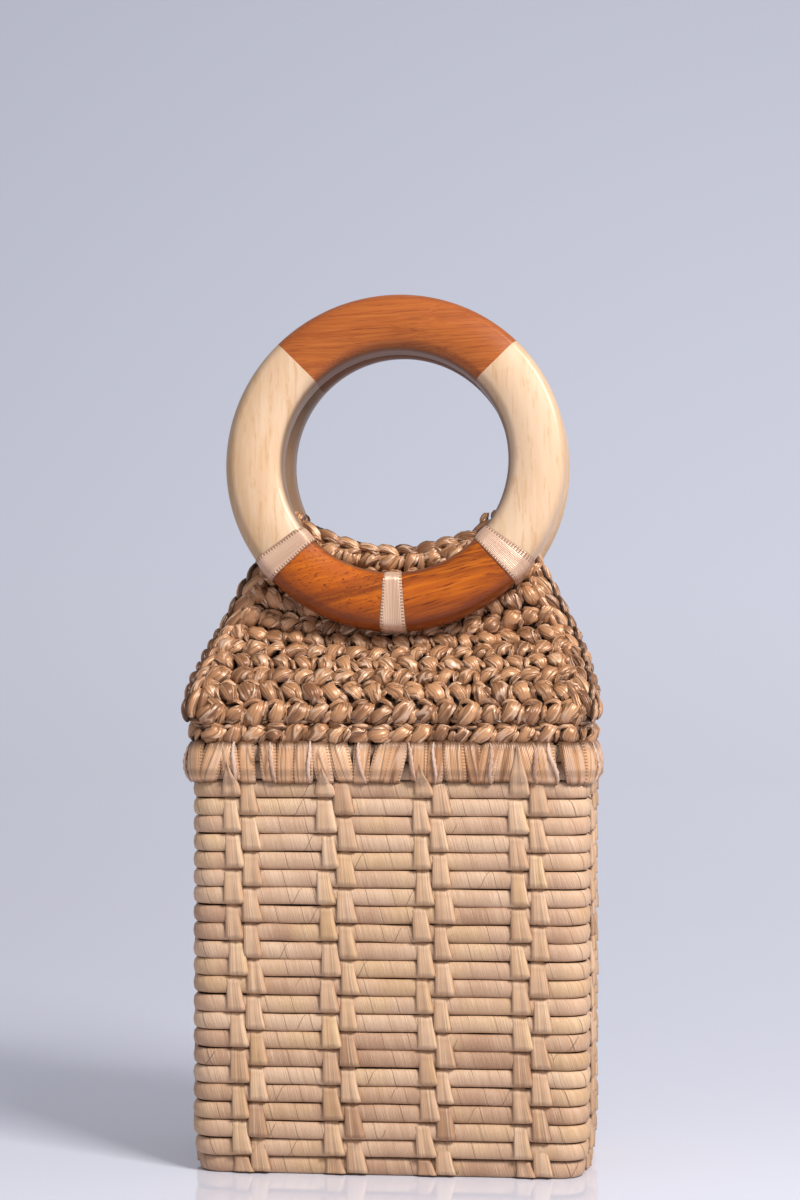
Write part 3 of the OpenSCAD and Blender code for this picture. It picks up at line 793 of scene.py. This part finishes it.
def flap_run(row, u):
    """Length from the fold of a row's middle at u across: upper rows dip in the middle."""
    v = (row + 0.5) / FLAP_ROWS
    pitch = MID_LEN / (FLAP_ROWS - 0.5)
    return row * pitch + (CORNER_LEN - MID_LEN) * u * u * v * v * (3 - 2 * v)


def flap_point(x, s, lift):
    """Point of the front flap and its outward normal."""
    y, z = np.interp(s, FLAP_S, FLAP_Y), np.interp(s, FLAP_S, FLAP_Z)
    ny, nz = -np.interp(s, FLAP_S, FLAP_DZ), np.interp(s, FLAP_S, FLAP_DY)
    point = np.stack(np.broadcast_arrays(x, y + lift * ny, z + lift * nz), -1)
    return point, np.stack(np.broadcast_arrays(0 * x, ny, nz), -1)


def jitter(template, count, amount):
    """The template's strands for each stitch, moved and turned a little at random."""
    pts = np.repeat(template[None], count, 0)
    turn = RNG.normal(0, 0.18, (count, 1, 1))
    p = pts[..., 0] * np.cos(turn) - pts[..., 1] * np.sin(turn)
    q = pts[..., 0] * np.sin(turn) + pts[..., 1] * np.cos(turn)
    pts = np.stack([p, q, pts[..., 2] * RNG.uniform(0.9, 1.08, (count, 1, 1))], -1)
    return pts + RNG.normal(0, amount, pts.shape) * np.array([1, 1, 0.5])


def flap_stitches():
    """Middle and row of every stitch of a flap, as x, length from the fold and row number."""
    x, s, number = [], [], []
    for row in range(FLAP_ROWS):
        half = flap_half(np.interp(flap_run(row, 0.5), FLAP_S, FLAP_Z)) - 1.5
        count = round(2 * half / CROCHET_W)
        u = (np.arange(count + 1) + 0.25 * (-1) ** row) / count * 2 - 1
        u = np.clip(u, -0.9, 0.9)
        at = flap_run(row, u)
        x.append(u * (flap_half(np.interp(at, FLAP_S, FLAP_Z)) - 1.0))
        s.append(at)
        number.append(np.full(count + 1, row))
    return np.concatenate(x), np.concatenate(s), np.concatenate(number)


def fan_strands(name, place, stitches, slants, spin, samples, sides, face, used):
    """Strands of a set of stitches: place maps (along, up, out) at each stitch to a point and a
    normal, and slants is 1 or -1 for the way a stitch leans."""
    count = len(stitches[0])
    local = through(jitter(FAN[:used], count, 0.38).reshape(-1, 4, 3), samples)
    lean = np.repeat(slants, used)[:, None]
    base = [np.repeat(b, used)[:, None] for b in stitches]
    point, normal = place(base[0] + lean * local[..., 0], base[1] + local[..., 1], face * local[..., 2])
    size = RNG.uniform(0.85, 1.15, count * used)
    wide, thick = np.tile(FAN_WIDE[:used], count) * size, np.tile(FAN_THICK[:used], count) * size
    tone = RNG.uniform(0.2, 0.8, count * used)
    return strands(
        name, point * spin, face * normal * spin, wide, thick,
        sides=sides, crumple=0.08, fold=0.2, twist=0.5, taper=0.5, tone=tone,
    )


def crochet_cloth(name, turn):
    """Strands of every stitch on both faces of a flap; turn is 1 for the front, -1 for the back."""
    x, s, row = flap_stitches()
    slants = np.where(row % 2 == 0, 1.0, -1.0)
    spin = np.array([turn, turn, 1.0])
    return [
        fan_strands(name + "_outer", flap_point, (x, s), slants, spin, 8, 8, 1, 3),
        fan_strands(name + "_inner", flap_point, (x, s), -slants, spin, 7, 6, -1, 2),
    ]


def crochet_edges(name, turn):
    """Chain links along the flap's top edge, both side edges and the fold, a border of slanted links
    beside the side edges on both faces, and on the front flap the two knotted ends of the ribbon."""
    spin = np.array([turn, turn, 1.0])
    count = 12
    u = (np.arange(count) + 0.5) / count * 2 - 1
    local = through(jitter(LINK, count, 0.2).reshape(-1, 4, 3), 11)
    px = np.repeat(u * (TOP_HALF + 1.0), 2)[:, None] + 1.15 * local[..., 0]
    top = flap_run(FLAP_ROWS - 0.5, np.clip(px / TOP_HALF, -1.05, 1.05)) - 0.6
    paths, normals = [], []
    for lift in (1, -1):
        point, normal = flap_point(px, top + local[..., 1], lift * (1.6 + 0.8 * local[..., 2]))
        paths.append(point)
        normals.append(normal * lift)
    rows = int(CORNER_LEN // LINK_LEN) + 1
    for side in (-1, 1):
        local = through(jitter(LINK, rows, 0.2).reshape(-1, 4, 3), 11)
        ps = (np.arange(rows) + 0.2) * CORNER_LEN / (rows - 0.4)
        ps = np.repeat(ps, 2)[:, None] + local[..., 0] * 0.95
        half = flap_half(np.interp(ps, FLAP_S, FLAP_Z))
        point, normal = flap_point(side * (half - 1.6 + local[..., 2] * 0.6), ps, local[..., 1] * 1.35)
        paths.append(point)
        normals.append(np.broadcast_to(np.array([side, 0.0, 0.0]), point.shape))
        rise = (np.arange(rows) + 0.5) * CORNER_LEN / rows
        rise = np.repeat(rise, 2)[:, None] + local[..., 0] * 1.15
        half = flap_half(np.interp(rise, FLAP_S, FLAP_Z))
        px = side * (half - 5.0 + local[..., 1] * 0.9 - local[..., 0] * 0.25)
        for lift in (1, -1):
            point, normal = flap_point(px, rise, lift * (1.2 + local[..., 2]))
            paths.append(point)
            normals.append(normal * lift)
    links = round(2 * BASE_HALF / CROCHET_W)
    local = through(jitter(LINK, links, 0.2).reshape(-1, 4, 3), 11)
    u = (np.arange(links) + 0.5) / links * 2 - 1
    px = np.repeat(u * (BASE_HALF - 2.0), 2)[:, None] + local[..., 0]
    point, _ = flap_point(px, -1.5 - 0.4 * local[..., 2], local[..., 1] * 0.9)
    paths.append(point)
    normals.append(np.broadcast_to(np.array([0.0, 0.0, -1.0]), point.shape))
    if turn > 0:
        ends = through(KNOT, 11)
        base = flap_run(FLAP_ROWS - 0.5, KNOT_X / TOP_HALF)
        point, normal = flap_point(KNOT_X + ends[..., 0], base + ends[..., 1], 1.5)
        paths.append(point)
        normals.append(normal)
    paths, normals = np.concatenate(paths), np.concatenate(normals)
    wide, thick = RNG.uniform(1.8, 2.3, len(paths)), RNG.uniform(1.2, 1.5, len(paths))
    return strands(name + "_edge", paths * spin, normals * spin, wide, thick)


def crochet_core(name, turn):
    """Thin inner layer of a flap, near black, so that the gaps between stitches are closed and show
    painted shade: one loop over the front and back faces for each line up the flap, drawn in to an
    edge at both ends."""
    lines, cols = 40, 24
    v = np.linspace(-0.3, FLAP_ROWS - 0.6, lines)[:, None]
    u = np.r_[np.linspace(-1, 1, cols), np.linspace(1, -1, cols)][None, :]
    face = np.r_[np.ones(cols), -np.ones(cols)][None, :]
    s = flap_run(v, u)
    half = flap_half(np.interp(s, FLAP_S, FLAP_Z)) - 1.8
    ease = np.clip(np.minimum(v + 0.3, FLAP_ROWS - 0.6 - v) / 0.3, 0.05, 1)
    point, _ = flap_point(u * half, s, 1.6 * face * ease * np.minimum(1, (1.02 - np.abs(u)) * 20))
    point = point * np.array([turn, turn, 1.0])
    return add_surface(name + "_core", point[None], (False, True), outward=True)


def collar_point(run, up, lift):
    """Point of the collar at a run along its middle line, and the outward normal."""
    back = WALL_T / 2
    x, y, nx, ny = rect_run(BASKET_W - 2 * back, BASKET_D - 2 * back, CORNER_R - back, run)
    up = np.clip(up, -3.3, 3.3)
    point = np.stack(np.broadcast_arrays(x + lift * nx, y + lift * ny, COLLAR_Z + up), -1)
    return point, np.stack(np.broadcast_arrays(nx, ny, 0 * nx), -1)


def crochet_collar():
    """One row of slanted stitches round the rim, outside and inside, with a chain along its top."""
    back = WALL_T / 2
    total = rect_length(BASKET_W - 2 * back, BASKET_D - 2 * back, CORNER_R - back)
    count = round(total / CROCHET_W)
    run = np.arange(count) * total / count
    slants = np.ones(count)
    up = np.zeros(count)
    plain = np.ones(3)
    made = [
        fan_strands("collar_outer", collar_point, (run, up), slants, plain, 8, 8, 1, 3),
        fan_strands("collar_inner", collar_point, (run, up), slants, plain, 7, 6, -1, 2),
    ]
    links = round(total / LINK_LEN)
    local = through(jitter(LINK, links, 0.2).reshape(-1, 4, 3), 9)
    pr = np.repeat(np.arange(links) * total / links, 2)[:, None] + local[..., 0]
    point, _ = collar_point(pr, 0.5 + local[..., 2] * 0.75, local[..., 1])
    up = np.broadcast_to(np.array([0.0, 0.0, 1.0]), point.shape)
    made.append(strands("collar_top", point, up, 1.6, 1.3))
    # A near-black core inside the row: painted shade seen through the gaps
    a = np.linspace(0, 2 * np.pi, 8, endpoint=False)
    steps = np.linspace(0, total, 120, endpoint=False)
    core, _ = collar_point(steps[:, None], 2.4 * np.sin(a)[None, :], 2.3 * np.cos(a)[None, :])
    return made, add_surface("collar_core", core[None], (True, True), outward=True)


# Ribbon ties


def tie_band(name, middle, turn, layers):
    """Ribbon round the ring: the ring's rounded section as a loop, pushed out by the ribbon and
    carried back into the flap, for a span of angles across; the edges lie a little lower. A layer is
    (shift along the ring, skew from the hole to the outer edge, width)."""
    r, hw, ht = RING_EDGE, RING_W / 2, RING_T / 2
    grip = CROCHET_T * 0.55
    corner = np.radians(np.linspace(0, 90, 7))
    arc = [(hw - r + r * np.cos(c), ht - r + r * np.sin(c)) for c in corner]
    front = np.array(arc + [(-x, z) for x, z in arc[::-1]])
    leg = [(hw, -ht - grip), (hw, -ht), (hw, 0)]
    loop = np.vstack([leg, front, [(-x, z) for x, z in leg[::-1]]])
    out = unit(np.gradient(loop, axis=0)) @ np.array([[0.0, -1.0], [1.0, 0.0]])
    length = np.r_[0, np.cumsum(np.linalg.norm(np.diff(loop, axis=0), axis=1))]
    cols = 11
    c = np.linspace(-1, 1, cols)
    pts = []
    for layer, (shift, skew, wide) in enumerate(layers):
        lift = 0.28 + 0.3 * layer + 0.1 * np.sin(2.5 * c + layer)[None, :] - 0.16 * np.abs(c[None, :]) ** 6
        lift = lift + 0.1 * np.sin(length[:, None] * 0.55 + 3 * c[None, :])
        radial = RING_MID + loop[:, :1] + out[:, :1] * lift
        depth = loop[:, 1:] + out[:, 1:] * lift
        angle = np.radians(middle) + (shift + wide / 2 * c[None, :] + skew * loop[:, :1] / hw) / RING_MID
        px, pz = radial * np.cos(angle), radial * np.sin(angle)
        y = RING_Y - depth * RING_COS + pz * RING_SIN
        z = RING_Z + depth * RING_SIN + pz * RING_COS
        pts.append(np.stack([turn * px, turn * y, z], -1))
    return add_surface(name, np.array(pts)[:, :, ::-1], along=length, tone=np.full(len(layers), 0.7))


# Build

RING_WOODS = {"top": DARK_WOOD, "bottom": DARK_WOOD_LOW, "left": PALE_WOOD, "right": PALE_WOOD}

dress(coil_rows(), STRAW, "basket", "straw", "coil_basket")
dress(base_rods(), STRAW, "basket", "straw", "coil_basket")
dress(leaf_straps(), LEAF, "basket", "leaf", "leaf_stitches")
dress(rim_turns(), WOUND, "basket", "satin_ribbon", "rim_binding")
dress(rim_piping(), PIPING, "basket", "satin_ribbon", "rim_binding")
stitches, core = crochet_collar()
for made in stitches:
    dress(made, CROCHET, "basket", "satin_ribbon", "crochet_collar")
dress(core, SHADE, "basket", "satin_ribbon", "crochet_collar")

for half, turn in (("front", 1), ("back", -1)):
    body, flap = half + "_cover", half + "_flap"
    for made in crochet_cloth(flap, turn):
        dress(made, CROCHET, body, "satin_ribbon", flap)
    dress(crochet_edges(flap, turn), CROCHET, body, "satin_ribbon", flap)
    dress(crochet_core(flap, turn), SHADE, body, "satin_ribbon", flap)
    for label, angle in (("left", 180 + TIE_ANGLE), ("middle", 270), ("right", 360 - TIE_ANGLE)):
        if turn < 0:
            label = {"left": "right", "right": "left"}.get(label, label)
        down = np.sign(270 - angle)
        layers = [(1.4 * down, 0.3, TIE_W), (1.8 * down, -0.3, TIE_W)] if down else [(0, 0.2, TIE_W)]
        band = tie_band(f"{half}_{label}_tie", angle, turn, layers)
        dress(band, TIE, body, "tie_ribbon", f"{half}_tie_{label}")
    for label, material in RING_WOODS.items():
        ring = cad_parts[f"{half}_ring_{label}"]
        ring.data.materials.clear()
        ring.data.materials.append(material)

# Floor, light and camera


def sweep():
    """Floor that curves up into a backdrop as the cube of the distance behind the bag."""
    t = np.linspace(0, 1, 48)
    profile = np.vstack([[(-1500, 0)], np.stack([150 + 1650 * t, 1250 * t**3], -1)])
    x = np.linspace(-2600, 2600, 3)
    pts = np.stack(np.broadcast_arrays(x[None, :], profile[:, :1], profile[:, 1:]), -1)
    return add_surface("floor", pts[None])


def floor_material():
    """Pale polished floor with painted light: a little darker on the ground than higher up the backdrop."""
    mat, tree, shader = new_material("pale_floor", 0.07, Specular_IOR_Level=0.35)
    spot = wire(tree, "ShaderNodeTexCoord").outputs["Object"]
    rise = ramp(tree, wire(tree, "ShaderNodeSeparateXYZ", {0: spot}).outputs[2], 0.0, 0.3)
    # Painted light: the backdrop higher up is paler than the ground
    colour = blend_colour(tree, rise, (0.67, 0.68, 0.77), (0.715, 0.738, 0.845))
    tree.links.new(colour, shader.inputs["Base Color"])
    return mat


floor = sweep()
floor.data.materials.append(floor_material())


def area_light(name, place, target, size, power, colour):
    """Square lamp at a place, turned towards a target."""
    data = bpy.data.lights.new(name, "AREA")
    data.shape, data.size, data.energy, data.color = "SQUARE", size, power, colour
    made = bpy.data.objects.new(name, data)
    made.location = place
    aim = np.array(target) - np.array(place)
    flat = math.hypot(aim[0], aim[1])
    made.rotation_euler = (math.atan2(flat, -aim[2]), 0, math.atan2(-aim[0], aim[1]))
    bpy.context.scene.collection.objects.link(made)
    return made


area_light("key", (0.85, -0.85, 1.25), (0, 0, 0.18), 0.5, 34.5, (1.0, 0.98, 0.95))
fill = area_light("fill", (-1.1, -1.0, 0.6), (0, 0, 0.18), 0.9, 1.5, (0.95, 0.97, 1.0))
# The floor doesn't mirror the fill light
fill.visible_glossy = False
world = bpy.data.worlds.new("studio")
world.use_nodes = True
world.node_tree.nodes["Background"].inputs[0].default_value = (0.93, 0.94, 1.0, 1)
world.node_tree.nodes["Background"].inputs[1].default_value = 0.4
bpy.context.scene.world = world

CAMERA_D, CAMERA_YAW, CAMERA_Z = 0.95, math.radians(6.0), 0.182
lens = bpy.data.cameras.new("camera")
lens.lens, lens.sensor_width, lens.shift_y = 72.0, 36.0, 0.0788
lens.clip_start, lens.clip_end = 0.05, 20
camera = bpy.data.objects.new("camera", lens)
camera.location = (CAMERA_D * math.sin(CAMERA_YAW), -CAMERA_D * math.cos(CAMERA_YAW), CAMERA_Z)
camera.rotation_euler = (math.pi / 2, 0, CAMERA_YAW)
bpy.context.scene.collection.objects.link(camera)
bpy.context.scene.camera = camera
bpy.context.scene.view_settings.view_transform = "Standard"
